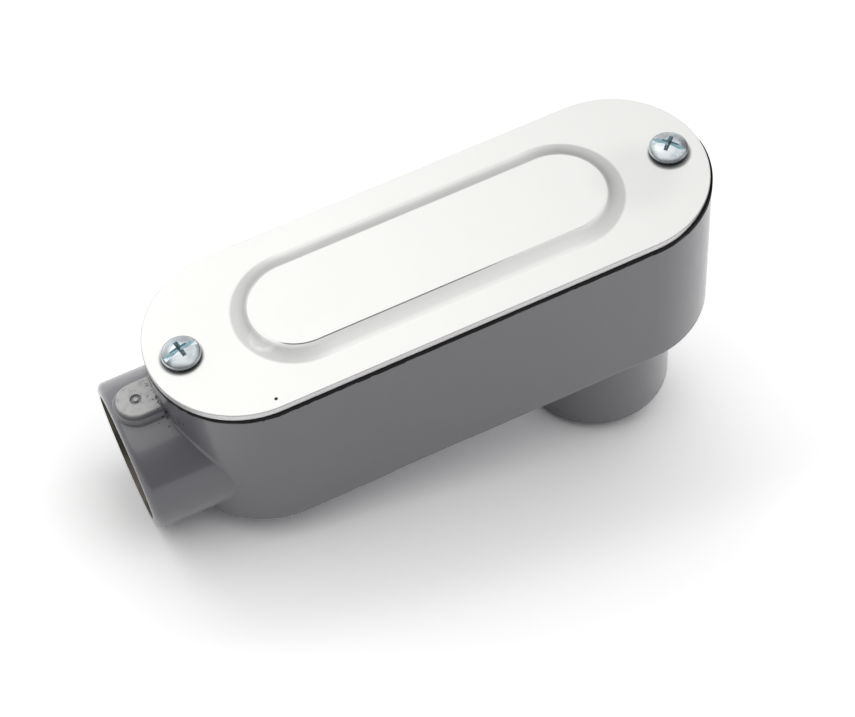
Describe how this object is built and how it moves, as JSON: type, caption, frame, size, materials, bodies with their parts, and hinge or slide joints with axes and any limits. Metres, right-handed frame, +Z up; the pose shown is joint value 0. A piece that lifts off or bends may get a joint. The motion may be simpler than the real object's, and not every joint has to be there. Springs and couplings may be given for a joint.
{
  "type": "conduit body",
  "caption": "Right-angle conduit body: a rounded wiring chamber with a threaded hub on one end and one on its back, and a gasketed cover held by a screw at each end.",
  "frame": {"origin": "centre of the run hub's mouth", "axes": "+X along the body, away from the run hub's mouth; +Z up, out through the cover; the back hub opens towards -Z"},
  "size_m": [0.1302, 0.0406, 0.0678],
  "materials": {
    "grey_paint": "semi-gloss grey enamel on die-cast aluminium",
    "black_rubber": "matt black sheet gasket",
    "satin_aluminium": "satin stamped sheet",
    "zinc_steel": "bright zinc plate with a blue tint"
  },
  "bodies": {
    "root": {"body": "grey_paint", "gasket": "black_rubber", "cover": "satin_aluminium", "near_screw": "zinc_steel", "far_screw": "zinc_steel"}
  },
  "joints": []
}
